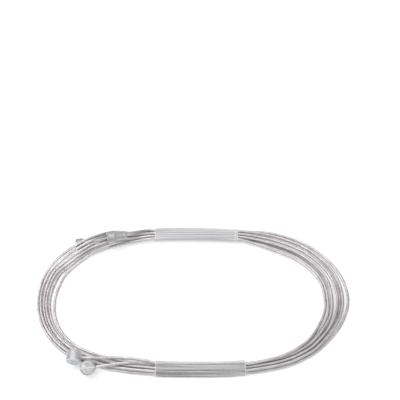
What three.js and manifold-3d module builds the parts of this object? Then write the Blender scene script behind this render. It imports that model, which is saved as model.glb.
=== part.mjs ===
// Two bicycle brake inner cables, wound together into one oval hank and held by two film bands.
// Millimetres, +Z up. The hank lies on the ground plane Z = 0, with +X along its length.
import * as THREE from "three";
import { mergeVertices } from "three/addons/utils/BufferGeometryUtils.js";
import Module from "manifold-3d";

const wasm = await Module();
wasm.setup();

// Wire
const WIRE = 1.5; // diameter of the stranded wire
const WIRE_GAP = 0.18; // clearance between neighbouring strands
const PITCH = WIRE + WIRE_GAP;
const WIRE_SIDES = 8;
const STEPS_PER_STATION = 3;

// Oval that the outermost strand follows, seen from above
const HALF_LENGTH = 76.9;
const HALF_DEPTH = 40.9;
// How far it lies outside an ellipse, at each of 24 even steps of angle from +X
const OVAL_BULGE = [
  1.004, 1.019, 1.049, 1.087, 1.095, 1.02,
  1, 1.028, 1.083, 1.114, 1.083, 1.017,
  1, 1.006, 1.044, 1.071, 1.055, 1.02,
  1, 1.024, 1.059, 1.051, 1.01, 1.003,
];
const BACK_ANGLE = 90;
const FRONT_ANGLE = 270;
const BAND_ANGLE = 45; // no band reaches further than this from the back or the front

// Barrel heads, for the brake lever
const BARREL_DIAMETER = 7;
const BARREL_LENGTH = 5.6;
const BARREL_EDGE = 0.5;
const BARREL_BORE_DEPTH = 2.1;
const BARREL_SIDES = 32;
const BARREL_LEAN = 62; // degrees by which the front barrel's axis rises towards the viewer

// Mushroom heads at the other ends
const CAP_DIAMETER = 6.4;
const CAP_LENGTH = 4.1;
const CAP_EDGE = 0.5;
const NECK_DIAMETER = 4.4;
const NECK_LENGTH = 5.4;
const NECK_EDGE = 0.3;
const SHOULDER = 0.7;
const NECK_BORE_DEPTH = 7;
const HEAD_SIDES = 28;

// How a wire sits in its heads
const BORE_CLEARANCE = 0.15;
const BORE_SIDES = 16;
const END_GAP = 0.3;

// Film bands round the hank
const FILM_WALL = 0.25;
const FILM_CLEARANCE = 0.2;
const FILM_LIFT = FILM_WALL + FILM_CLEARANCE; // height of a banded wire above the ground
const FILM_CORNER_SIDES = 12;
const FILM_STEPS = 9;
const TOP_FILM = { left: -20, right: 23.3 };
const BOTTOM_FILM = { left: -17.7, right: 25.3 };

// Places of strands are in pitches: across from the outermost strand towards the middle, and up.
const ROW = Math.cos(Math.PI / 6); // height of a strand that nests on two others
const LANES = [0, 1, 2, 3, 4, 5, 6, 7];
const TOP_STACK = LANES.map((lane) => [lane / 2, (lane % 2) * ROW]);
const BOTTOM_STACK = [...TOP_STACK.slice(0, 7), [2, 2 * ROW]];
const RIGHT_FAN = [
  [0, 0],
  [1.73, 0.565],
  [2.53, 0],
  [3.33, 0.565],
  [5.24, 0],
  [5.06, 0.98],
  [6.25, 0],
  [7.17, 0.33],
];

// Right-hand stations, by angle round the oval: how far the stack has opened into the fan,
// and the place of the last strand where it climbs over the others.
const RIGHT_STATIONS = [
  { angle: 257, fan: 0, last: [2.56, 1.845] },
  { angle: 272, fan: 0 },
  { angle: 288, fan: 0 },
  { angle: 303, fan: 0, last: [2.6, 1.85] },
  { angle: 311, fan: 0.05, last: [3.15, 1.83] },
  { angle: 320, fan: 0.12, last: [3.85, 1.08] },
  { angle: 340, fan: 0.5, last: [5.75, 0.5] },
  { angle: 360, fan: 0.94 },
  { angle: 382, fan: 0.87 },
  { angle: 403, fan: 0.82 },
  { angle: 419, fan: 0.72 },
  { angle: 433, fan: 0 },
  { angle: 449, fan: 0 },
  { angle: 465, fan: 0 },
];

// Left-hand stations: the six strands that run on from lanes 2 to 7. The outer ones climb over
// the mushroom head that lies under them.
const LEFT_STATIONS = [
  {
    angle: 113,
    across: [0.97, 1.94, 2.07, 2.99, 3.03, 3.97],
    up: [1.17, 1.61, 0.39, 1.11, 0.08, 0.76],
  },
  {
    angle: 120,
    across: [0.44, 1.44, 2.26, 3.38, 3.11, 4.41],
    up: [2.26, 2.26, 1.67, 1.79, 0.82, 0.62],
  },
  {
    angle: 129,
    across: [1.85, 2.89, 3.47, 4.07, 4.18, 5.17],
    up: [3.76, 3.86, 3.06, 2.19, 0.95, 0.38],
  },
  {
    angle: 134,
    across: [2.31, 3.15, 3.84, 4.4, 4.87, 5.9],
    up: [3.75, 3.25, 2.4, 1.4, 0.5, 0.25],
  },
  {
    angle: 138,
    across: [2.29, 3.13, 4.04, 4.7, 5.24, 6.24],
    up: [3.2, 2.6, 2, 1.2, 0.4, 0.1],
  },
  {
    angle: 148,
    across: [1.46, 2.58, 3.65, 4.62, 5.38, 6.58],
    up: [1.4, 1.2, 0.9, 0.6, 0.03, 0.03],
  },
  {
    angle: 159,
    across: [0.25, 1.35, 2.4, 3.42, 4.35, 5.97],
    up: [0.36, 0.53, 0.63, 0.5, 0, 0],
  },
  {
    angle: 180,
    across: [0, 0.86, 1.73, 2.59, 3.45, 5],
    up: [0, 0.54, 0, 0.54, 0, 0],
  },
  {
    angle: 202,
    across: [0, 0.74, 1.49, 2.23, 2.98, 4.11],
    up: [0, 0.69, 0, 0.69, 0, 0],
  },
  {
    angle: 222,
    across: [0, 0.62, 1.25, 1.88, 2.5, 3.51],
    up: [0, 0.8, 0, 0.8, 0, 0],
  },
  {
    angle: 240,
    across: [0, 0.58, 1.13, 1.73, 2.26, 3.21],
    up: [0.12, 0.95, 0.12, 0.95, 0.12, 0.12],
  },
];

// Lanes that each cable takes, turn by turn
const LONG_TURNS = [7, 6, 4, 2, 0];
const SHORT_TURNS = [5, 3, 1];

// The cables' ends outside the coil: angle round the oval, then pitches across and up
const LONG_START = [
  [229.32, -0.66, 3.39],
  [233.12, 0.21, 3.36],
  [236.81, 1.23, 3.07],
  [240.95, 2.29, 2.68],
  [245.15, 2.97, 2.41],
  [250.41, 3.16, 2.29],
  [253.78, 2.96, 2.32],
];
const SHORT_START = [
  [235.14, -1.66, 2.08],
  [236.89, -1.11, 2.11],
  [239.7, -0.14, 2.17],
  [244, 1.18, 2.17],
  [249.06, 2.26, 1.82],
  [253.46, 2.52, 1.46],
];
const LONG_END = [
  [111.72, 0.12, 0.33],
  [116.04, 0.88, 0.53],
  [120.35, 1.73, 0.86],
  [124.31, 2.25, 1.31],
  [127.85, 2.28, 1.46],
  [130.42, 1.97, 1.46],
  [133.12, 1.54, 1.46],
];
const SHORT_END = [
  [106.99, 0.53, 1.4],
  [109.15, 1.1, 2.13],
  [111.4, 1.9, 2.87],
  [113.44, 2.85, 3.57],
  [115.46, 3.35, 3.95],
  [117.92, 3.57, 4.17],
  [120.5, 3.7, 4.38],
];

const steel = new THREE.MeshStandardMaterial({
  color: 0xb4b3b1,
  metalness: 1,
  roughness: 0.32,
});
const zinc = new THREE.MeshStandardMaterial({
  color: 0xbcc0c0,
  metalness: 0.85,
  roughness: 0.42,
});
const film = new THREE.MeshStandardMaterial({
  color: 0xe4e6ea,
  metalness: 0,
  roughness: 0.35,
  transparent: true,
  opacity: 0.45,
});

const oval = new THREE.CatmullRomCurve3(
  OVAL_BULGE.map((bulge, step) => {
    const turn = (2 * Math.PI * step) / OVAL_BULGE.length;
    const x = Math.cos(turn) * HALF_LENGTH * bulge;
    const y = Math.sin(turn) * HALF_DEPTH * bulge;
    return new THREE.Vector3(x, y, 0);
  }),
  true,
  "catmullrom",
);

// The outermost strand's place at an angle round the oval
function ovalPoint(angle) {
  const place = oval.getPoint((angle % 360) / 360);
  return new THREE.Vector2(place.x, place.y);
}

// The horizontal direction from that strand towards the middle of the hank
function inwardAt(angle) {
  const along = ovalPoint(angle + 0.5).sub(ovalPoint(angle - 0.5)).normalize();
  return new THREE.Vector2(-along.y, along.x);
}

// A strand's centre, from its distance across and its height above the lowest it can lie
function strandPoint(angle, across, up) {
  const place = ovalPoint(angle).addScaledVector(inwardAt(angle), across);
  return new THREE.Vector3(place.x, place.y, WIRE / 2 + up);
}

function rightPoint(station, lane) {
  const stack = station.angle < 360 ? BOTTOM_STACK : TOP_STACK;
  const from = stack[lane];
  const to = RIGHT_FAN[lane];
  let across = THREE.MathUtils.lerp(from[0], to[0], station.fan);
  let up = THREE.MathUtils.lerp(from[1], to[1], station.fan);
  if (lane === 7 && station.last) {
    [across, up] = station.last;
  }
  const lift = FILM_LIFT * (1 - station.fan);
  return strandPoint(station.angle, across * PITCH, up * PITCH + lift);
}

function leftPoint(station, strand) {
  return strandPoint(station.angle, station.across[strand] * PITCH, station.up[strand] * PITCH);
}

function endPoint([angle, across, up]) {
  return strandPoint(angle, across * PITCH, up * PITCH);
}

// A wire's centreline. It steps with the stations, so that neighbouring strands stay parallel,
// and nowhere goes below the ground.
class WireRoute extends THREE.CatmullRomCurve3 {
  getPoint(t, target = new THREE.Vector3()) {
    super.getPoint(t, target);
    target.z = Math.max(target.z, WIRE / 2);
    return target;
  }
  getPointAt(u, target) {
    return this.getPoint(u, target);
  }
  getTangentAt(u, target) {
    return this.getTangent(u, target);
  }
}

function cableRoute(start, lanes, end) {
  const points = start.map(endPoint);
  lanes.forEach((lane, turn) => {
    for (const station of RIGHT_STATIONS) {
      points.push(rightPoint(station, lane));
    }
    if (turn < lanes.length - 1) {
      for (const station of LEFT_STATIONS) {
        points.push(leftPoint(station, lane - 2));
      }
    }
  });
  points.push(...end.map(endPoint));
  return new WireRoute(points, false, "centripetal");
}

function regularShape(radius, sides) {
  const corners = [];
  for (let i = 0; i < sides; i++) {
    const angle = (2 * Math.PI * (i + 0.5)) / sides;
    corners.push(new THREE.Vector2(radius * Math.cos(angle), radius * Math.sin(angle)));
  }
  return new THREE.Shape(corners);
}

function sweep(shape, path, steps) {
  return new THREE.ExtrudeGeometry(shape, { extrudePath: path, steps, bevelEnabled: false });
}

function wireMesh(name, route) {
  const steps = (route.points.length - 1) * STEPS_PER_STATION;
  const mesh = new THREE.Mesh(sweep(regularShape(WIRE / 2, WIRE_SIDES), route, steps), steel);
  mesh.name = name;
  return mesh;
}

// Turns and moves a mesh so that its local X and Y point along the two directions given.
function orient(mesh, origin, xDirection, yDirection) {
  const x = xDirection.clone().normalize();
  const y = yDirection.clone().addScaledVector(x, -yDirection.dot(x)).normalize();
  const z = new THREE.Vector3().crossVectors(x, y);
  mesh.quaternion.setFromRotationMatrix(new THREE.Matrix4().makeBasis(x, y, z));
  mesh.position.copy(origin);
  return mesh;
}

function solidFrom(geometry) {
  const bare = geometry.index ? geometry.toNonIndexed() : geometry.clone();
  bare.deleteAttribute("normal");
  bare.deleteAttribute("uv");
  const merged = mergeVertices(bare, 1e-4);
  return new wasm.Manifold(
    new wasm.Mesh({
      numProp: 3,
      vertProperties: merged.attributes.position.array,
      triVerts: new Uint32Array(merged.index.array),
    }),
  );
}

function geometryFrom(solid) {
  const mesh = solid.getMesh();
  const geometry = new THREE.BufferGeometry();
  geometry.setAttribute("position", new THREE.BufferAttribute(mesh.vertProperties, 3));
  geometry.setIndex(new THREE.BufferAttribute(mesh.triVerts, 1));
  geometry.computeVertexNormals();
  return geometry;
}

// A short cylinder about local Y, with a bore for the wire in its side towards local +X
function barrelGeometry() {
  const radius = BARREL_DIAMETER / 2;
  const half = BARREL_LENGTH / 2;
  const profile = [
    [0, -half],
    [radius - BARREL_EDGE, -half],
    [radius, -half + BARREL_EDGE],
    [radius, half - BARREL_EDGE],
    [radius - BARREL_EDGE, half],
    [0, half],
  ].map((p) => new THREE.Vector2(...p));
  const body = solidFrom(new THREE.LatheGeometry(profile, BARREL_SIDES));
  const boreRadius = WIRE / 2 + BORE_CLEARANCE;
  const boreLength = BARREL_BORE_DEPTH + radius;
  const bore = new THREE.CylinderGeometry(boreRadius, boreRadius, boreLength, BORE_SIDES);
  bore.rotateZ(-Math.PI / 2);
  bore.translate(radius - BARREL_BORE_DEPTH + boreLength / 2, 0, 0);
  return geometryFrom(body.subtract(solidFrom(bore)));
}

function barrelMesh(name, route, axis) {
  const start = route.getPoint(0);
  const exit = route.getTangent(0);
  const centre = start.addScaledVector(exit, BARREL_BORE_DEPTH - END_GAP - BARREL_DIAMETER / 2);
  const mesh = new THREE.Mesh(barrelGeometry(), zinc);
  mesh.name = name;
  return orient(mesh, centre, exit, axis);
}

// A cap and a neck about local Y, with the neck and its bore towards +Y
function mushroomGeometry() {
  const cap = CAP_DIAMETER / 2;
  const neck = NECK_DIAMETER / 2;
  const length = CAP_LENGTH + NECK_LENGTH;
  const bore = WIRE / 2 + BORE_CLEARANCE;
  const floor = length - NECK_BORE_DEPTH;
  const profile = [
    [0, 0],
    [cap - CAP_EDGE, 0],
    [cap, CAP_EDGE],
    [cap, CAP_LENGTH - SHOULDER],
    [neck, CAP_LENGTH],
    [neck, length - NECK_EDGE],
    [neck - NECK_EDGE, length],
    [bore, length],
    [bore, floor],
    [0, floor],
  ].map((p) => new THREE.Vector2(...p));
  return new THREE.LatheGeometry(profile, HEAD_SIDES);
}

function mushroomMesh(name, route) {
  const end = route.getPoint(1);
  const out = route.getTangent(1).negate();
  const capFace = end.addScaledVector(out, NECK_BORE_DEPTH - END_GAP - CAP_LENGTH - NECK_LENGTH);
  const mesh = new THREE.Mesh(mushroomGeometry(), zinc);
  mesh.name = name;
  const side = new THREE.Vector3(0, 0, 1).cross(out);
  return orient(mesh, capFace, side, out);
}

// The convex outline round a set of points, anticlockwise
function outlineOf(points) {
  const sorted = [...points].sort((a, b) => a.x - b.x || a.y - b.y);
  const turnOf = (a, b, c) => (b.x - a.x) * (c.y - a.y) - (b.y - a.y) * (c.x - a.x);
  const chain = (list) => {
    const kept = [];
    for (const p of list) {
      while (kept.length > 1 && turnOf(kept.at(-2), kept.at(-1), p) <= 1e-6) {
        kept.pop();
      }
      kept.push(p);
    }
    return kept.slice(0, -1);
  };
  return [...chain(sorted), ...chain(sorted.reverse())];
}

// The outline at a given distance outside the wires of a stack.
// Its x runs down and its y towards the middle of the hank, as the sweep's frames do.
function stackOutline(places, distance) {
  const radius = WIRE / 2 + distance;
  const points = [];
  for (const [across, up] of places) {
    for (let i = 0; i < FILM_CORNER_SIDES; i++) {
      const angle = (2 * Math.PI * i) / FILM_CORNER_SIDES;
      const down = -(WIRE / 2 + up * PITCH + FILM_LIFT) + radius * Math.cos(angle);
      points.push(new THREE.Vector2(down, across * PITCH + radius * Math.sin(angle)));
    }
  }
  return outlineOf(points);
}

// The stretch of the oval under a band, from one angle to another
class BandPath extends THREE.Curve {
  constructor(from, to) {
    super();
    this.from = from;
    this.to = to;
  }
  getPoint(t, target = new THREE.Vector3()) {
    const place = ovalPoint(THREE.MathUtils.lerp(this.from, this.to, t));
    return target.set(place.x, place.y, 0);
  }
}

// The angle round the oval, between two limits, at which it reaches a given x
function angleAt(x, low, high) {
  const rising = ovalPoint(high).x > ovalPoint(low).x;
  for (let i = 0; i < 40; i++) {
    const middle = (low + high) / 2;
    if (ovalPoint(middle).x < x === rising) {
      low = middle;
    } else {
      high = middle;
    }
  }
  return low;
}

function filmMesh(name, places, from, to) {
  const shape = new THREE.Shape(stackOutline(places, FILM_CLEARANCE + FILM_WALL));
  shape.holes.push(new THREE.Path(stackOutline(places, FILM_CLEARANCE)));
  const mesh = new THREE.Mesh(sweep(shape, new BandPath(from, to), FILM_STEPS), film);
  mesh.name = name;
  return mesh;
}

const hank = new THREE.Group();

const longRoute = cableRoute(LONG_START, LONG_TURNS, LONG_END);
const shortRoute = cableRoute(SHORT_START, SHORT_TURNS, SHORT_END);
const lean = THREE.MathUtils.degToRad(BARREL_LEAN);
const leaningAxis = new THREE.Vector3(0, -Math.cos(lean), Math.sin(lean));

hank.add(wireMesh("long_cable_wire", longRoute));
hank.add(barrelMesh("long_cable_barrel_head", longRoute, new THREE.Vector3(0, -1, 0)));
hank.add(mushroomMesh("long_cable_mushroom_head", longRoute));

hank.add(wireMesh("short_cable_wire", shortRoute));
hank.add(barrelMesh("short_cable_barrel_head", shortRoute, leaningAxis));
hank.add(mushroomMesh("short_cable_mushroom_head", shortRoute));

hank.add(
  filmMesh(
    "top_film_band",
    TOP_STACK,
    angleAt(TOP_FILM.right, BACK_ANGLE - BAND_ANGLE, BACK_ANGLE),
    angleAt(TOP_FILM.left, BACK_ANGLE, BACK_ANGLE + BAND_ANGLE),
  ),
);
hank.add(
  filmMesh(
    "bottom_film_band",
    [...BOTTOM_STACK, RIGHT_STATIONS[0].last],
    angleAt(BOTTOM_FILM.left, FRONT_ANGLE - BAND_ANGLE, FRONT_ANGLE),
    angleAt(BOTTOM_FILM.right, FRONT_ANGLE, FRONT_ANGLE + BAND_ANGLE),
  ),
);

export default hank;
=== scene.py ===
import math

import bpy
import numpy as np
from mathutils import Matrix, Vector


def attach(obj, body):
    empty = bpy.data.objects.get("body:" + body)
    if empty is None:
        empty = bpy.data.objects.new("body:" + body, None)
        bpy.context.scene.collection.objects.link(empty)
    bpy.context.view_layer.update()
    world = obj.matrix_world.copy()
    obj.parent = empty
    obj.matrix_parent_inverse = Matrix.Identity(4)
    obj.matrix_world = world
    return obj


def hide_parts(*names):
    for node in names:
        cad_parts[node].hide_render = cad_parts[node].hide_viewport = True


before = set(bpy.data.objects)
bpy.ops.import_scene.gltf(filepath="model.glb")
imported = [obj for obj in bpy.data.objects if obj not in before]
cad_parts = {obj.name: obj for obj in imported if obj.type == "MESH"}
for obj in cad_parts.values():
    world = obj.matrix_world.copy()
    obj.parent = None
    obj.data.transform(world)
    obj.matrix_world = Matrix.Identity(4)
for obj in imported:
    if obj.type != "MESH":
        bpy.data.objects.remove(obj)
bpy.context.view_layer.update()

MM = 0.001

# Camera, at the photograph's viewing angle
CAMERA_PLACE = (0.00353, -0.21986, 0.39410)
CAMERA_TARGET = (0.00353, 0.06124, 0.0)
CAMERA_LENS = 81
CAMERA_SENSOR = 36

# Wire and the places of its strands
WIRE = 1.5 * MM
PITCH = 1.68 * MM
HALF_LENGTH = 76.9 * MM
HALF_DEPTH = 40.9 * MM
# How far the outermost strand lies outside an ellipse, at 24 even steps of angle from +X
OVAL_BULGE = [
    1.004, 1.019, 1.049, 1.087, 1.095, 1.02,
    1, 1.028, 1.083, 1.114, 1.083, 1.017,
    1, 1.006, 1.044, 1.071, 1.055, 1.02,
    1, 1.024, 1.059, 1.051, 1.01, 1.003,
]
FILM_LIFT = 0.45 * MM
ROW = math.cos(math.pi / 6)
TOP_STACK = [(lane / 2, (lane % 2) * ROW) for lane in range(8)]
BOTTOM_STACK = TOP_STACK[:7] + [(2, 2 * ROW)]
RIGHT_FAN = [
    (0, 0),
    (1.73, 0.565),
    (2.53, 0),
    (3.33, 0.565),
    (5.24, 0),
    (5.06, 0.98),
    (6.25, 0),
    (7.17, 0.33),
]

# Right-hand stations: angle round the oval, share of the fan, and the last strand's own place
RIGHT_STATIONS = [
    (257, 0, (2.56, 1.845)),
    (272, 0, None),
    (288, 0, None),
    (303, 0, (2.6, 1.85)),
    (311, 0.05, (3.15, 1.83)),
    (320, 0.12, (3.85, 1.08)),
    (340, 0.5, (5.75, 0.5)),
    (360, 0.94, None),
    (382, 0.87, None),
    (403, 0.82, None),
    (419, 0.72, None),
    (433, 0, None),
    (449, 0, None),
    (465, 0, None),
]

# Left-hand stations: angle round the oval, then places across and heights, in pitches
LEFT_STATIONS = [
    (113, [0.97, 1.94, 2.07, 2.99, 3.03, 3.97], [1.17, 1.61, 0.39, 1.11, 0.08, 0.76]),
    (120, [0.44, 1.44, 2.26, 3.38, 3.11, 4.41], [2.26, 2.26, 1.67, 1.79, 0.82, 0.62]),
    (129, [1.85, 2.89, 3.47, 4.07, 4.18, 5.17], [3.76, 3.86, 3.06, 2.19, 0.95, 0.38]),
    (134, [2.31, 3.15, 3.84, 4.4, 4.87, 5.9], [3.75, 3.25, 2.4, 1.4, 0.5, 0.25]),
    (138, [2.29, 3.13, 4.04, 4.7, 5.24, 6.24], [3.2, 2.6, 2, 1.2, 0.4, 0.1]),
    (148, [1.46, 2.58, 3.65, 4.62, 5.38, 6.58], [1.4, 1.2, 0.9, 0.6, 0.03, 0.03]),
    (159, [0.25, 1.35, 2.4, 3.42, 4.35, 5.97], [0.36, 0.53, 0.63, 0.5, 0, 0]),
    (180, [0, 0.86, 1.73, 2.59, 3.45, 5], [0, 0.54, 0, 0.54, 0, 0]),
    (202, [0, 0.74, 1.49, 2.23, 2.98, 4.11], [0, 0.69, 0, 0.69, 0, 0]),
    (222, [0, 0.62, 1.25, 1.88, 2.5, 3.51], [0, 0.8, 0, 0.8, 0, 0]),
    (240, [0, 0.58, 1.13, 1.73, 2.26, 3.21], [0.12, 0.95, 0.12, 0.95, 0.12, 0.12]),
]

# The lanes that each cable takes in turn. Its last one runs to its far end, so the strands on the
# left start with the third lane
LONG_LANES = [7, 6, 4, 2, 0]
SHORT_LANES = [5, 3, 1]
FIRST_LEFT_LANE = 2

# The cables' ends: angle round the oval, then pitches across and up
LONG_START = [
    (229.32, -0.66, 3.39),
    (233.12, 0.21, 3.36),
    (236.81, 1.23, 3.07),
    (240.95, 2.29, 2.68),
    (245.15, 2.97, 2.41),
    (250.41, 3.16, 2.29),
    (253.78, 2.96, 2.32),
]
SHORT_START = [
    (235.14, -1.66, 2.08),
    (236.89, -1.11, 2.11),
    (239.7, -0.14, 2.17),
    (244, 1.18, 2.17),
    (249.06, 2.26, 1.82),
    (253.46, 2.52, 1.46),
]
LONG_END = [
    (111.72, 0.12, 0.33),
    (116.04, 0.88, 0.53),
    (120.35, 1.73, 0.86),
    (124.31, 2.25, 1.31),
    (127.85, 2.28, 1.46),
    (130.42, 1.97, 1.46),
    (133.12, 1.54, 1.46),
]
SHORT_END = [
    (106.99, 0.53, 1.4),
    (109.15, 1.1, 2.13),
    (111.4, 1.9, 2.87),
    (113.44, 2.85, 3.57),
    (115.46, 3.35, 3.95),
    (117.92, 3.57, 4.17),
    (120.5, 3.7, 4.38),
]

# Stranding: a layer of outer wires laid round the rope
OUTER_WIRES = 12
ROPE_RADIUS = 0.715 * MM
GROOVE = 0.06 * MM
LAY = 12 * MM
ROPE_STEP = 0.7 * MM
ROPE_CREASE = 50
SPLINE_STEPS = 24

# Heads
BARREL_DIAMETER = 7 * MM
BARREL_LENGTH = 5.6 * MM
BARREL_FILLET = 0.75 * MM
BARREL_DISH = 0.08 * MM
BARREL_BORE_DEPTH = 2.1 * MM
BARREL_LEAN = 62
# Rows of the turned profile round one end painted in lighter metal: a painted rim highlight, partly
# rubbed wear
RIM_WEAR_AND_HIGHLIGHT_ROWS = (10, 11, 12, 13)
CAP_DIAMETER = 6.4 * MM
CAP_LENGTH = 4.1 * MM
NECK_DIAMETER = 4.4 * MM
NECK_LENGTH = 5.4 * MM
NECK_BORE_DEPTH = 7 * MM
CAP_FILLET = 0.55 * MM
CAP_DISH = 0.06 * MM
SHOULDER = 0.7 * MM
SHOULDER_FILLET = 0.35 * MM
NECK_FILLET = 0.3 * MM
END_GAP = 0.3 * MM
HEAD_SIDES = 96
HEAD_CREASE = 35
SEAM_WIDTH = 0.6 * MM
SEAM_PROUD = 0.2 * MM
SEAM_FOOT = 0.02 * MM
SEAM_ROOT = 0.15 * MM
GATE_RADIUS = 0.75 * MM
GATE_HEIGHT = 0.16 * MM
GATE_PLACE = (-1.5 * MM, -0.7 * MM)
GATE_SIDES = 32
COLLAR_LENGTH = 0.35 * MM
COLLAR_SPREAD = 0.4 * MM
COLLAR_ROOT = 0.6 * MM
COLLAR_SIDES = 40

# Film
FILM_INSIDE = 0.26 * MM
FILM_SHEET = 0.09 * MM
FILM_WAVE = 0.02 * MM
FILM_RINGS = 90
FILM_POINTS = 160
FILM_CORNER_SIDES = 24
FILM_CREASE = 40
TOP_FILM = (-20 * MM, 23.3 * MM)
BOTTOM_FILM = (-17.7 * MM, 25.3 * MM)
# Share of the way round over which the sheet laps itself, and how much thicker it is there
FILM_LAP = (0.42, 0.8)
FILM_LAP_RISE = 0.8
# Ripples: size, waves round the band, waves along it, and phase
FILM_RIPPLES = [(1, 3, 1.7, 0), (1, 7, -2.3, 1), (0.6, 13, 4.1, 2)]
# The inner face ripples by this share of the wave
FILM_WAVE_SHARE = 0.35

# Stage: the floor, the sky by height, and each lamp's place, size and power
FLOOR_REACH = 2.5
FLOOR_TONE = 0.8
FLOOR_GLOW = 0.4
SKY_TONE = 0.62
SKY_LEVELS = [(0.0, 0.05), (0.33, 0.1), (0.58, 0.68), (0.85, 1.0)]
KEY_LAMP = ((-0.35, 0.1, 0.9), 0.7, 4.4)
FILL_LAMP = ((0.6, -0.5, 0.7), 0.9, 1.4)
WHITE = (1, 1, 1, 1)


def make_camera():
    data = bpy.data.cameras.new("camera")
    data.lens = CAMERA_LENS
    data.sensor_width = CAMERA_SENSOR
    camera = bpy.data.objects.new("camera", data)
    bpy.context.scene.collection.objects.link(camera)
    camera.location = CAMERA_PLACE
    look = Vector(CAMERA_TARGET) - Vector(CAMERA_PLACE)
    camera.rotation_euler = look.to_track_quat("-Z", "Y").to_euler()
    bpy.context.scene.camera = camera


def oval_corners():
    turns = 2 * np.pi * np.arange(len(OVAL_BULGE)) / len(OVAL_BULGE)
    bulge = np.array(OVAL_BULGE)
    return np.stack([np.cos(turns) * HALF_LENGTH * bulge, np.sin(turns) * HALF_DEPTH * bulge], axis=1)


OVAL_CORNERS = oval_corners()


# A point on the cubic between two points with the given tangents
def cubic_point(p1, p2, t1, t2, t):
    square = -3 * p1 + 3 * p2 - 2 * t1 - t2
    cube = 2 * p1 - 2 * p2 + t1 + t2
    return p1 + t1 * t + square * t**2 + cube * t**3


# The outermost strand's place at an angle round the oval: a smooth curve through its corners
def oval_point(angle):
    count = len(OVAL_CORNERS)
    place = angle % 360 / 360 * count
    step = int(place)
    p0, p1, p2, p3 = (OVAL_CORNERS[(step + k) % count] for k in (-1, 0, 1, 2))
    return cubic_point(p1, p2, (p2 - p0) / 2, (p3 - p1) / 2, place - step)


def inward_at(angle):
    x, y = unit(oval_point(angle + 0.5) - oval_point(angle - 0.5))
    return np.array([-y, x])


def strand_point(angle, across, up):
    x, y = oval_point(angle) + inward_at(angle) * across
    return (x, y, WIRE / 2 + up)


def right_point(station, lane):
    angle, fan, last = station
    stack = BOTTOM_STACK if angle < 360 else TOP_STACK
    across, up = (a + (b - a) * fan for a, b in zip(stack[lane], RIGHT_FAN[lane]))
    if lane == len(stack) - 1 and last:
        across, up = last
    return strand_point(angle, across * PITCH, up * PITCH + FILM_LIFT * (1 - fan))


def left_point(station, strand):
    angle, across, up = station
    return strand_point(angle, across[strand] * PITCH, up[strand] * PITCH)


def end_points(places):
    return [strand_point(angle, across * PITCH, up * PITCH) for angle, across, up in places]


def cable_points(start, lanes, end):
    points = end_points(start)
    for turn, lane in enumerate(lanes):
        points += [right_point(station, lane) for station in RIGHT_STATIONS]
        if turn < len(lanes) - 1:
            strand = lane - FIRST_LEFT_LANE
            points += [left_point(station, strand) for station in LEFT_STATIONS]
    return np.array(points + end_points(end))


# A centripetal Catmull-Rom curve through the points, kept above the ground
def smooth_line(points):
    padded = np.vstack([2 * points[0] - points[1], points, 2 * points[-1] - points[-2]])
    line = []
    for i in range(1, len(padded) - 2):
        p0, p1, p2, p3 = padded[i - 1 : i + 3]
        d0, d1, d2 = (math.sqrt(np.linalg.norm(b - a)) for a, b in ((p0, p1), (p1, p2), (p2, p3)))
        t1 = ((p1 - p0) / d0 - (p2 - p0) / (d0 + d1) + (p2 - p1) / d1) * d1
        t2 = ((p2 - p1) / d1 - (p3 - p1) / (d1 + d2) + (p3 - p2) / d2) * d1
        for t in np.arange(SPLINE_STEPS) / SPLINE_STEPS:
            line.append(cubic_point(p1, p2, t1, t2, t))
    line = np.array(line + [padded[-2]])
    line[:, 2] = np.maximum(line[:, 2], WIRE / 2)
    return line


def lengths_along(line):
    return np.concatenate([[0], np.cumsum(np.linalg.norm(np.diff(line, axis=0), axis=1))])


def evenly_spaced(line, step):
    along = lengths_along(line)
    places = np.linspace(0, along[-1], math.ceil(along[-1] / step) + 1)
    return np.stack([np.interp(places, along, line[:, k]) for k in range(3)], axis=1)


def unit(vectors):
    return vectors / np.linalg.norm(vectors, axis=-1, keepdims=True)


# Two directions across a line, carried along it without turning
def carried_frames(line):
    tangents = unit(np.gradient(line, axis=0))
    side = unit(np.cross(tangents[0], [0, 0, 1]))
    sides = []
    for tangent in tangents:
        side = unit(side - tangent * (side @ tangent))
        sides.append(side)
    sides = np.array(sides)
    return sides, np.cross(tangents, sides)


# A closed tube from rings of points, all with the same count, with both ends filled
def tube_faces(rings, count):
    faces = []
    for i in range(rings - 1):
        for k in range(count):
            after = (k + 1) % count
            row = i * count
            faces.append((row + k, row + after, row + count + after, row + count + k))
    faces.append(tuple(reversed(range(count))))
    faces.append(tuple(range((rings - 1) * count, rings * count)))
    return faces


def new_piece(name, points, faces, materials, crease):
    mesh = bpy.data.meshes.new(name)
    mesh.from_pydata([tuple(p) for p in points], [], faces)
    for material in materials:
        mesh.materials.append(material)
    mesh.polygons.foreach_set("use_smooth", [True] * len(mesh.polygons))
    mesh.set_sharp_from_angle(angle=math.radians(crease))
    mesh.update()
    piece = bpy.data.objects.new(name, mesh)
    bpy.context.scene.collection.objects.link(piece)
    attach(piece, "root")
    return piece


# The rope's outline, with one low lobe for each outer wire
def rope_section():
    section = []
    for i in range(OUTER_WIRES):
        for share, depth in ((0, 0), (1 / 3, 1), (2 / 3, 1)):
            turn = 2 * math.pi * (i + share) / OUTER_WIRES
            section.append((turn, ROPE_RADIUS - GROOVE * depth))
    return np.array(section)


def make_rope(name, node, line, material):
    path = evenly_spaced(line, ROPE_STEP)
    sides, ups = carried_frames(path)
    angles, radii = rope_section().T
    turned = angles[None, :] + (2 * math.pi * lengths_along(path) / LAY)[:, None]
    across = (radii * np.cos(turned))[:, :, None] * sides[:, None, :]
    upward = (radii * np.sin(turned))[:, :, None] * ups[:, None, :]
    points = (path[:, None, :] + across + upward).reshape(-1, 3)
    faces = tube_faces(len(path), len(angles))
    rope = new_piece(name, points, faces, [material], ROPE_CREASE)
    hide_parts(node)
    return rope, path


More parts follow.
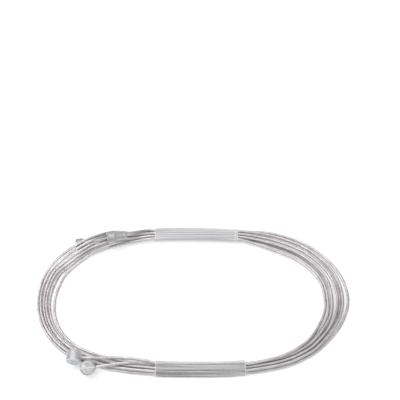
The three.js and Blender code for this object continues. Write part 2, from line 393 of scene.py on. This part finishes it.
def arc(centre, radius, start, end, steps=6):
    turns = np.radians(np.linspace(start, end, steps + 1))
    return [(centre[0] + radius * math.cos(t), centre[1] + radius * math.sin(t)) for t in turns]


# A solid of revolution about local Y from (radius, height) points, first and last on the axis
def lathe(profile, sides):
    points = [(0, profile[0][1], 0)]
    for radius, height in profile[1:-1]:
        for k in range(sides):
            turn = 2 * math.pi * k / sides
            points.append((radius * math.cos(turn), height, -radius * math.sin(turn)))
    points.append((0, profile[-1][1], 0))
    rings = len(profile) - 2
    last = len(points) - 1
    faces = []
    for k in range(sides):
        after = (k + 1) % sides
        faces.append((0, 1 + after, 1 + k))
        for i in range(rings - 1):
            low = 1 + i * sides
            faces.append((low + k, low + after, low + sides + after, low + sides + k))
        top = 1 + (rings - 1) * sides
        faces.append((top + k, top + after, last))
    return points, faces


# The mould's parting seam: a closed ridge in the local XY plane round a turned profile
def seam(profile):
    side = profile[1:-1]
    outline = np.array(side + [(-x, y) for x, y in reversed(side)])
    along = unit(np.roll(outline, -1, axis=0) - np.roll(outline, 1, axis=0))
    outward = np.stack([along[:, 1], -along[:, 0]], axis=1)
    half = SEAM_WIDTH / 2
    section = [(-half, -SEAM_FOOT), (0, SEAM_PROUD), (half, -SEAM_FOOT), (0, -SEAM_ROOT)]
    points, faces = [], []
    for z, offset in section:
        ring = outline + outward * offset
        points += [(x, y, z) for x, y in ring]
    count = len(outline)
    for i in range(len(section)):
        low, high = i * count, (i + 1) % len(section) * count
        for k in range(count):
            after = (k + 1) % count
            faces.append((low + k, low + after, high + after, high + k))
    return points, faces


def joined(*parts):
    points, faces = [], []
    for part_points, part_faces in parts:
        shift = len(points)
        points += part_points
        faces += [tuple(i + shift for i in face) for face in part_faces]
    return points, faces


def placed(points, origin, x_direction, y_direction):
    x = Vector(x_direction).normalized()
    y = Vector(y_direction)
    y = (y - x * y.dot(x)).normalized()
    z = x.cross(y)
    turn = Matrix((x, y, z)).transposed()
    return [turn @ Vector(p) + Vector(origin) for p in points]


# A ring that swells where the wire leaves the metal, about local X or Y
def collar(start, about_x):
    wire = WIRE / 2 - 0.06 * MM
    foot = WIRE / 2 + COLLAR_SPREAD
    top = WIRE / 2 + 0.05 * MM
    profile = [
        (0, start - COLLAR_ROOT),
        (foot, start - COLLAR_ROOT),
        (foot, start),
        (foot - 0.2 * MM, start + 0.08 * MM),
        (top + 0.05 * MM, start + 0.2 * MM),
        (top, start + COLLAR_LENGTH),
        (wire, start + COLLAR_LENGTH),
        (0, start + COLLAR_LENGTH),
    ]
    points, faces = lathe(profile, COLLAR_SIDES)
    if about_x:
        points = [(y, -x, z) for x, y, z in points]
    return points, faces


# A low dome on a barrel's end, where the metal ran into the mould; it takes the lighter metal as a
# painted highlight spot, partly rubbed wear
def gate_mark(height):
    rise = [(1, -2), (1, 0), (0.85, 0.45), (0.5, 0.85)]
    profile = [(0, height - 2 * GATE_HEIGHT)]
    profile += [(GATE_RADIUS * out, height + GATE_HEIGHT * up) for out, up in rise]
    profile += [(0, height + GATE_HEIGHT)]
    points, faces = lathe(profile, GATE_SIDES)
    along, across = GATE_PLACE
    return [(x + along, y, z + across) for x, y, z in points], faces


# A cast head from its body, its parts in lighter metal (painted highlights, partly rubbed wear) and
# its collar, in that order
def make_head(name, node, parts, place, materials, wear_and_highlight_faces=()):
    points, faces = joined(*parts)
    head = new_piece(name, placed(points, *place), faces, materials, HEAD_CREASE)
    # The seam and gate mark and the listed faces take the lighter metal: painted highlights, partly
    # rubbed wear
    wear_and_highlight_parts = range(len(parts[0][1]), len(faces) - len(parts[-1][1]))
    for index in [*wear_and_highlight_parts, *wear_and_highlight_faces]:
        head.data.polygons[index].material_index = 1
    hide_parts(node)
    return head


def make_barrel(name, node, line, axis, materials, rim_wear_and_highlight_rows=()):
    radius = BARREL_DIAMETER / 2
    half = BARREL_LENGTH / 2
    edge = BARREL_FILLET
    flat = half - BARREL_DISH
    lip = half - 0.02 * MM
    profile = [(0, -flat), (radius * 0.45, -flat), (radius * 0.7, -lip)]
    profile += arc((radius - edge, -half + edge), edge, -90, 0)
    profile += arc((radius - edge, half - edge), edge, 0, 90)
    profile += [(radius * 0.7, lip), (radius * 0.45, flat), (0, flat)]
    parts = [
        lathe(profile, HEAD_SIDES),
        seam(profile),
        gate_mark(flat),
        collar(radius, about_x=True),
    ]
    strip = len(profile) - 1
    # Faces of the rim rows, painted in lighter metal as a rim highlight, partly rubbed wear
    wear_and_highlight_faces = [1 + row + k * strip for k in range(HEAD_SIDES) for row in rim_wear_and_highlight_rows]
    out = unit(line[1] - line[0])
    centre = line[0] + out * (BARREL_BORE_DEPTH - END_GAP - radius)
    return make_head(name, node, parts, (centre, out, axis), materials, wear_and_highlight_faces)


def make_mushroom(name, node, line, materials):
    cap = CAP_DIAMETER / 2
    neck = NECK_DIAMETER / 2
    length = CAP_LENGTH + NECK_LENGTH
    edge = CAP_FILLET
    shoulder = (cap - SHOULDER_FILLET, CAP_LENGTH - SHOULDER)
    profile = [(0, CAP_DISH), (cap * 0.5, CAP_DISH)]
    profile += arc((cap - edge, edge), edge, -90, 0)
    profile += [(cap, CAP_LENGTH - SHOULDER)]
    profile += arc(shoulder, SHOULDER_FILLET, 10, 62, 4)
    profile += [(neck + 0.5 * MM, CAP_LENGTH - 0.12 * MM)]
    profile += [(neck + 0.15 * MM, CAP_LENGTH + 0.05 * MM), (neck, CAP_LENGTH + 0.4 * MM)]
    profile += arc((neck - NECK_FILLET, length - NECK_FILLET), NECK_FILLET, 0, 90, 4)
    profile += [(0, length)]
    parts = [lathe(profile, HEAD_SIDES), seam(profile), collar(length, about_x=False)]
    back = unit(line[-2] - line[-1])
    face = line[-1] + back * (NECK_BORE_DEPTH - END_GAP - length)
    sideways = np.cross([0, 0, 1], back)
    return make_head(name, node, parts, (face, sideways, back), materials)


def convex_outline(points):
    ordered = sorted(points)
    chains = []
    for chosen in (ordered, ordered[::-1]):
        chain = []
        for p in chosen:
            while len(chain) > 1:
                (ax, ay), (bx, by) = chain[-2:]
                if (bx - ax) * (p[1] - ay) - (by - ay) * (p[0] - ax) > 1e-12:
                    break
                chain.pop()
            chain.append(p)
        chains.append(chain[:-1])
    return chains[0] + chains[1]


# The outline of a film pulled round a stack of strands, as evenly spaced (across, up) points
def film_outline(places):
    radius = WIRE / 2 + FILM_INSIDE
    points = []
    for across, up in places:
        for i in range(FILM_CORNER_SIDES):
            turn = 2 * math.pi * i / FILM_CORNER_SIDES
            x = across * PITCH + radius * math.cos(turn)
            y = WIRE / 2 + FILM_LIFT + up * PITCH + radius * math.sin(turn)
            points.append((x, y))
    corners = convex_outline(points)
    loop = np.array(corners + corners[:1])
    along = lengths_along(loop)
    at = np.linspace(0, along[-1], FILM_POINTS, endpoint=False)
    outline = np.stack([np.interp(at, along, loop[:, k]) for k in range(2)], axis=1)
    ahead = unit(np.roll(outline, -1, axis=0) - np.roll(outline, 1, axis=0))
    return outline, np.stack([ahead[:, 1], -ahead[:, 0]], axis=1)


# The angle between two others at which the oval is at a given x
def angle_at(x, low, high):
    rising = oval_point(high)[0] > oval_point(low)[0]
    for _ in range(40):
        middle = (low + high) / 2
        if (oval_point(middle)[0] < x) == rising:
            low = middle
        else:
            high = middle
    return low


# A wound sheet that laps itself along the band and ripples a little, with bright rows at its ends
def make_film(name, node, places, start, end, materials, welts):
    outline, outward = film_outline(places)
    ring = np.arange(FILM_RINGS) / (FILM_RINGS - 1)
    loop = np.arange(FILM_POINTS) / FILM_POINTS
    ripple = sum(
        size * np.sin(2 * math.pi * (around * loop[None, :] + along * ring[:, None]) + phase)
        for size, around, along, phase in FILM_RIPPLES
    )
    lapped = ((loop > FILM_LAP[0]) & (loop < FILM_LAP[1])).astype(float)
    inner_offset = FILM_WAVE * FILM_WAVE_SHARE * ripple
    outer_offset = inner_offset + FILM_SHEET * (1 + FILM_LAP_RISE * lapped[None, :])
    shells = []
    for offset in (outer_offset, inner_offset):
        rows = []
        for i, share in enumerate(ring):
            angle = start + (end - start) * share
            x, y = oval_point(angle)
            inward = inward_at(angle)
            across, up = (outline + outward * offset[i][:, None]).T
            rows.append(np.stack([x + inward[0] * across, y + inward[1] * across, up], axis=1))
        shells.append(np.array(rows))
    points = np.concatenate([shell.reshape(-1, 3) for shell in shells])
    size = FILM_RINGS * FILM_POINTS
    faces, rims = [], []
    for k in range(FILM_POINTS):
        after = (k + 1) % FILM_POINTS
        for i in range(FILM_RINGS - 1):
            low, high = i * FILM_POINTS, (i + 1) * FILM_POINTS
            outer = (low + k, low + after, high + after, high + k)
            (rims if i in welts else faces).append(outer)
            faces.append((size + low + k, size + high + k, size + high + after, size + low + after))
        last = (FILM_RINGS - 1) * FILM_POINTS
        rims.append((k, size + k, size + after, after))
        rims.append((last + k, last + after, size + last + after, size + last + k))
    band = new_piece(name, points, faces + rims, materials, FILM_CREASE)
    indices = [0] * len(faces) + [1] * len(rims)
    band.data.polygons.foreach_set("material_index", indices)
    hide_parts(node)
    return band


def colour_ramp(tree, factor, stops):
    node = tree.nodes.new("ShaderNodeValToRGB")
    elements = node.color_ramp.elements
    while len(elements) < len(stops):
        elements.new(0.5)
    for element, (position, colour) in zip(elements, stops):
        element.position = position
        element.color = (*colour, 1)
    tree.links.new(factor, node.inputs["Fac"])
    return node.outputs["Color"]


def larger(tree, first, second):
    node = tree.nodes.new("ShaderNodeMath")
    node.operation = "MAXIMUM"
    tree.links.new(first, node.inputs[0])
    tree.links.new(second, node.inputs[1])
    return node.outputs[0]


class Shader:
    def __init__(self, name):
        self.material = bpy.data.materials.new(name)
        self.material.use_nodes = True
        self.tree = self.material.node_tree
        self.surface = self.tree.nodes["Principled BSDF"]
        self.place = self.tree.nodes.new("ShaderNodeTexCoord").outputs["Object"]

    def link(self, output, socket):
        self.tree.links.new(output, socket)

    def set(self, **values):
        for name, value in values.items():
            self.surface.inputs[name.replace("_", " ")].default_value = value

    def noise(self, scale, detail=3, roughness=0.5, stretch=None):
        node = self.tree.nodes.new("ShaderNodeTexNoise")
        node.inputs["Scale"].default_value = scale
        node.inputs["Detail"].default_value = detail
        node.inputs["Roughness"].default_value = roughness
        place = self.place
        if stretch:
            mapping = self.tree.nodes.new("ShaderNodeMapping")
            mapping.inputs["Scale"].default_value = stretch
            self.link(place, mapping.inputs["Vector"])
            place = mapping.outputs["Vector"]
        self.link(place, node.inputs["Vector"])
        return node.outputs["Fac"]

    def tint(self, factor, *stops):
        self.link(colour_ramp(self.tree, factor, stops), self.surface.inputs["Base Color"])

    # Values from low to high as a noise goes through its middle range
    def spread(self, factor, low, high, name):
        node = self.tree.nodes.new("ShaderNodeMapRange")
        node.inputs["From Min"].default_value = 0.3
        node.inputs["From Max"].default_value = 0.7
        node.inputs["To Min"].default_value = low
        node.inputs["To Max"].default_value = high
        self.link(factor, node.inputs["Value"])
        self.link(node.outputs["Result"], self.surface.inputs[name])

    def bump(self, height, strength, distance):
        node = self.tree.nodes.new("ShaderNodeBump")
        node.inputs["Strength"].default_value = strength
        node.inputs["Distance"].default_value = distance
        self.link(height, node.inputs["Height"])
        self.link(node.outputs["Normal"], self.surface.inputs["Normal"])


def steel_material():
    shader = Shader("stranded_steel")
    shader.set(Metallic=1.0)
    shader.tint(
        shader.noise(260, 4, 0.6),
        (0.3, (0.495, 0.473, 0.478)),
        (0.5, (0.58, 0.557, 0.562)),
        (0.7, (0.67, 0.646, 0.652)),
    )
    shader.spread(shader.noise(700), 0.3, 0.42, "Roughness")
    shader.bump(shader.noise(9000, 2), 0.1, 0.02 * MM)
    return shader.material


def zinc_material(name, red, green, blue):
    shader = Shader(name)
    shader.set(Metallic=0.55)
    shader.tint(
        shader.noise(900, 5, 0.6),
        (0.3, (red * 0.85, green * 0.85, blue * 0.85)),
        (0.5, (red, green, blue)),
        (0.72, (red * 1.18, green * 1.18, blue * 1.18)),
    )
    shader.spread(shader.noise(1600), 0.42, 0.6, "Roughness")
    shader.bump(shader.noise(2200, 4, 0.6), 0.5, 0.08 * MM)
    return shader.material


# Lighter metal on the mould's seam, the gate mark and a rim: painted highlights, partly rubbed wear
def wear_and_highlight_material():
    shader = Shader("rubbed_and_highlight_zinc")
    shader.set(Metallic=0.4)
    shader.tint(
        shader.noise(1200, 4, 0.6),
        (0.3, (0.66, 0.67, 0.675)),
        (0.7, (0.86, 0.87, 0.875)),
    )
    shader.spread(shader.noise(1600), 0.3, 0.45, "Roughness")
    return shader.material


# Milky film from its least and most milky cover and its dullest and palest tone, with tone streaks
# along X that are painted light and shade of the strands under it
def film_material(name, clear, milky, dull, pale):
    shader = Shader(name)
    shader.set(Roughness=0.28, IOR=1.49)
    cloud = shader.noise(420, 2, 0.5, stretch=(0.03, 1, 1))
    shader.spread(cloud, clear, milky, "Alpha")
    # Streaks along X painted into the tone as the bright and dark lines of the strands under the film
    strand_shade_streaks = shader.noise(760, 2, 0.5, stretch=(0.015, 1, 1))
    shader.tint(
        strand_shade_streaks,
        (0.38, (dull * 0.985, dull * 0.965, dull)),
        (0.55, (pale * 0.985, pale * 0.98, pale)),
    )
    shader.bump(strand_shade_streaks, 0.15, 0.08 * MM)
    return shader.material


def film_edge_material():
    shader = Shader("film_cut_edge")
    shader.set(Alpha=0.55, Roughness=0.4)
    shader.tint(
        shader.noise(900),
        (0.3, (0.90, 0.90, 0.92)),
        (0.7, (0.97, 0.97, 0.98)),
    )
    return shader.material


def make_floor():
    reach = FLOOR_REACH
    corners = [(-reach, -reach, 0), (reach, -reach, 0), (reach, reach, 0), (-reach, reach, 0)]
    mesh = bpy.data.meshes.new("floor")
    mesh.from_pydata(corners, [], [(0, 1, 2, 3)])
    floor = bpy.data.objects.new("floor", mesh)
    bpy.context.scene.collection.objects.link(floor)
    material = bpy.data.materials.new("pale_floor")
    material.use_nodes = True
    tree = material.node_tree
    tree.nodes.clear()
    paint = tree.nodes.new("ShaderNodeBsdfDiffuse")
    paint.inputs["Color"].default_value = (FLOOR_TONE, FLOOR_TONE, FLOOR_TONE, 1)
    glow = tree.nodes.new("ShaderNodeEmission")
    glow.inputs["Color"].default_value = WHITE
    rays = tree.nodes.new("ShaderNodeLightPath").outputs
    seen = larger(tree, rays["Is Camera Ray"], rays["Is Glossy Ray"])
    seen = larger(tree, seen, rays["Is Transmission Ray"])
    strength = tree.nodes.new("ShaderNodeMath")
    strength.operation = "MULTIPLY"
    strength.inputs[1].default_value = FLOOR_GLOW
    tree.links.new(seen, strength.inputs[0])
    tree.links.new(strength.outputs[0], glow.inputs["Strength"])
    both = tree.nodes.new("ShaderNodeAddShader")
    tree.links.new(paint.outputs[0], both.inputs[0])
    tree.links.new(glow.outputs[0], both.inputs[1])
    output = tree.nodes.new("ShaderNodeOutputMaterial")
    tree.links.new(both.outputs[0], output.inputs["Surface"])
    mesh.materials.append(material)


# White to the camera and above, with a dim band round the horizon that metal mirrors
def make_world():
    world = bpy.data.worlds.new("studio")
    bpy.context.scene.world = world
    world.use_nodes = True
    tree = world.node_tree
    tree.nodes.clear()
    direction = tree.nodes.new("ShaderNodeTexCoord").outputs["Generated"]
    parts = tree.nodes.new("ShaderNodeSeparateXYZ")
    tree.links.new(direction, parts.inputs[0])
    stops = [(position, (level, level, level)) for position, level in SKY_LEVELS]
    mirrored = colour_ramp(tree, parts.outputs["Z"], stops)
    rays = tree.nodes.new("ShaderNodeLightPath").outputs
    plain = tree.nodes.new("ShaderNodeMix")
    plain.data_type = "RGBA"
    tree.links.new(rays["Is Glossy Ray"], plain.inputs["Factor"])
    plain.inputs[6].default_value = (SKY_TONE, SKY_TONE, SKY_TONE, 1)
    tree.links.new(mirrored, plain.inputs[7])
    seen = larger(tree, rays["Is Camera Ray"], rays["Is Transmission Ray"])
    shown = tree.nodes.new("ShaderNodeMix")
    shown.data_type = "RGBA"
    tree.links.new(seen, shown.inputs["Factor"])
    tree.links.new(plain.outputs[2], shown.inputs[6])
    shown.inputs[7].default_value = WHITE
    light = tree.nodes.new("ShaderNodeBackground")
    tree.links.new(shown.outputs[2], light.inputs["Color"])
    output = tree.nodes.new("ShaderNodeOutputWorld")
    tree.links.new(light.outputs[0], output.inputs["Surface"])


def make_lamp(name, place, size, power):
    data = bpy.data.lights.new(name, "AREA")
    data.size = size
    data.energy = power
    lamp = bpy.data.objects.new(name, data)
    bpy.context.scene.collection.objects.link(lamp)
    lamp.location = place
    lamp.rotation_euler = (-Vector(place)).to_track_quat("-Z", "Y").to_euler()


make_camera()

steel = steel_material()
# Lighter metal painted on seams, gate marks and a rim as highlights, partly rubbed wear
wear_and_highlight = wear_and_highlight_material()
barrel_zinc = [zinc_material("barrel_zinc", 0.525, 0.537, 0.546), wear_and_highlight]
# The mushroom heads' zinc is a darker copy of the barrels' zinc: painted shade
shaded_mushroom_zinc = [zinc_material("shaded_mushroom_zinc", 0.475, 0.467, 0.47), wear_and_highlight]
film_edge = film_edge_material()
# The two bands are one film: the top film's paler tone is painted light, the bottom film's darker
# tone painted shade
top_film = film_material("lit_milky_film", 0.35, 0.6, 0.66, 0.98)
bottom_film = film_material("shaded_film", 0.2, 0.4, 0.36, 0.88)

long_line = smooth_line(cable_points(LONG_START, LONG_LANES, LONG_END))
short_line = smooth_line(cable_points(SHORT_START, SHORT_LANES, SHORT_END))
lean = math.radians(BARREL_LEAN)
leaning_axis = (0, -math.cos(lean), math.sin(lean))

long_rope, long_path = make_rope("long_cable_rope", "long_cable_wire", long_line, steel)
short_rope, short_path = make_rope("short_cable_rope", "short_cable_wire", short_line, steel)
long_barrel = make_barrel(
    "long_cable_barrel",
    "long_cable_barrel_head",
    long_line,
    (0, -1, 0),
    barrel_zinc,
    RIM_WEAR_AND_HIGHLIGHT_ROWS,
)
short_barrel = make_barrel(
    "short_cable_barrel", "short_cable_barrel_head", short_line, leaning_axis, barrel_zinc
)
long_mushroom = make_mushroom(
    "long_cable_mushroom", "long_cable_mushroom_head", long_line, shaded_mushroom_zinc
)
short_mushroom = make_mushroom(
    "short_cable_mushroom", "short_cable_mushroom_head", short_line, shaded_mushroom_zinc
)

make_film(
    "top_film",
    "top_film_band",
    TOP_STACK,
    angle_at(TOP_FILM[1], 45, 90),
    angle_at(TOP_FILM[0], 90, 135),
    [top_film, film_edge],
    (0, 2, FILM_RINGS - 2),
)
make_film(
    "bottom_film",
    "bottom_film_band",
    BOTTOM_STACK + [RIGHT_STATIONS[0][2]],
    angle_at(BOTTOM_FILM[0], 225, 270),
    angle_at(BOTTOM_FILM[1], 270, 315),
    [bottom_film, film_edge],
    (0, FILM_RINGS - 2),
)

make_floor()
make_world()
make_lamp("key", *KEY_LAMP)
make_lamp("fill", *FILL_LAMP)
bpy.context.scene.view_settings.view_transform = "Standard"
